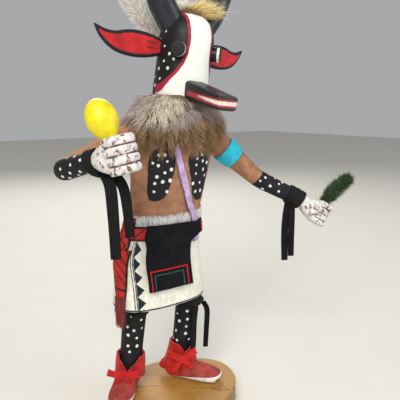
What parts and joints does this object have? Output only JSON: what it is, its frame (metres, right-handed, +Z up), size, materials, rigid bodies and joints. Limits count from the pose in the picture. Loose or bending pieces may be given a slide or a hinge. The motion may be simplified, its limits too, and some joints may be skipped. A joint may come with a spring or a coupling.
{
  "type": "kachina doll",
  "caption": "Carved and painted kachina doll on a log slice: horned mask with pop eyes, flat ears and a straight muzzle, fur ruff, white kilt, leather trim, rattle and sprig.",
  "frame": {"origin": "middle of the log slice's underside", "axes": "+Z up through the figure, which faces -Y; its own left hand is on the +X side"},
  "size_m": [0.2154, 0.0907, 0.3324],
  "materials": {
    "base_slab": "sanded slice of log, faintly varnished",
    "painted_wood": "matt water paint over carved wood",
    "ear_board": "matt water paint",
    "gourd": "satin paint",
    "evergreen": "dry, wiry",
    "lilac_leather": "matt painted hide",
    "silver_fringe": "frayed, with a faint sheen",
    "red_leather": "matt painted hide",
    "black_leather": "dull soft hide",
    "tie_leather": "dull soft hide",
    "turquoise_leather": "matt painted hide",
    "red_suede": "suede",
    "fur": "soft long fur",
    "down": "soft down"
  },
  "bodies": {
    "root": {"base_slab": "base_slab", "figure_body": "painted_wood", "arm_right": "painted_wood", "arm_left": "painted_wood", "mask_head": "painted_wood", "muzzle": "painted_wood", "eye_right": "painted_wood", "eye_left": "painted_wood", "horn_right": "painted_wood", "horn_left": "painted_wood", "ear_right": "ear_board", "ear_left": "ear_board", "rattle": "gourd", "sprig": "evergreen", "shoulder_strap": "lilac_leather", "waist_fringe": "silver_fringe", "belt": "red_leather", "sash": "red_leather", "apron": "black_leather", "wrist_wrap_right": "black_leather", "wrist_wrap_left": "black_leather", "knee_band_right": "black_leather", "knee_band_left": "black_leather", "wrist_tie_right_1": "tie_leather", "wrist_tie_right_2": "tie_leather", "wrist_tie_left_1": "tie_leather", "wrist_tie_left_2": "tie_leather", "knee_tie_right_1": "tie_leather", "knee_tie_right_2": "tie_leather", "knee_tie_left_1": "tie_leather", "knee_tie_left_2": "tie_leather", "armband": "turquoise_leather", "boot_cuff_right": "red_suede", "boot_cuff_left": "red_suede", "boot_bow_right": "red_suede", "boot_bow_left": "red_suede", "fur_ruff": "fur", "crown_tuft": "down", "plume_right_1": "down", "plume_right_2": "down", "plume_left": "down"}
  },
  "joints": []
}
